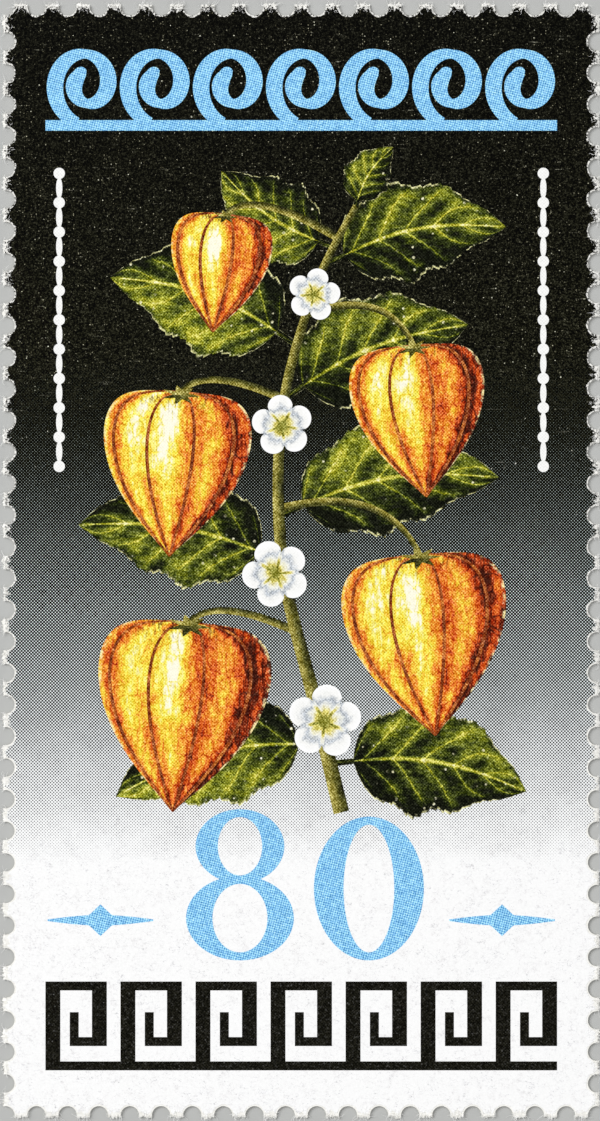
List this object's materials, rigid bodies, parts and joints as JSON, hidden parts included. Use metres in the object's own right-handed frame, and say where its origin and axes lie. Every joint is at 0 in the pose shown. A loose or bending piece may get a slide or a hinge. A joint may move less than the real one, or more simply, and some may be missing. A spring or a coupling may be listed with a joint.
{
  "type": "postage stamp",
  "caption": "Tall gummed postage stamp lying flat, face up: perforated torn edges, dark-to-white printed ground, a lantern-fruit sprig, ornament borders and a plain value.",
  "frame": {"origin": "centre of the gummed back, on the surface that the stamp lies on", "axes": "+Z out of the printed face, +Y to the top of the print, +X to the right of the print"},
  "size_m": [0.0282, 0.0526, 0.0001],
  "materials": {
    "gum": "satin: dried water-soluble gum, cream, with faint cockle",
    "paper": "matt uncoated edge with torn fibres",
    "printed_ground": "coated, screen-printed from near black at the top to paper white at the foot, soft satin",
    "blue_ink": "screen-printed ink, soft satin",
    "black_ink": "printed ink, soft satin",
    "white_print": "white of the coating left clear in the print",
    "green_ink": "screen-printed olive greens, soft satin",
    "orange_ink": "screen-printed oranges and yellows, soft satin",
    "brown_ink": "screen-printed red brown, soft satin"
  },
  "bodies": {
    "root": {"gum_film": "gum", "paper_sheet": "paper", "printed_face": "printed_ground", "wave_scroll": "blue_ink", "square_key": "black_ink", "bead_line_left": "white_print", "bead_line_right": "white_print", "figure_eight": "blue_ink", "figure_zero": "blue_ink", "rule_left": "blue_ink", "rule_right": "blue_ink", "sprig": "green_ink", "lantern_1": "orange_ink", "lantern_ribs_1": "brown_ink", "lantern_2": "orange_ink", "lantern_ribs_2": "brown_ink", "lantern_3": "orange_ink", "lantern_ribs_3": "brown_ink", "lantern_4": "orange_ink", "lantern_ribs_4": "brown_ink", "lantern_5": "orange_ink", "lantern_ribs_5": "brown_ink", "blossom_1": "white_print", "blossom_2": "white_print", "blossom_3": "white_print", "blossom_4": "white_print"}
  },
  "joints": []
}
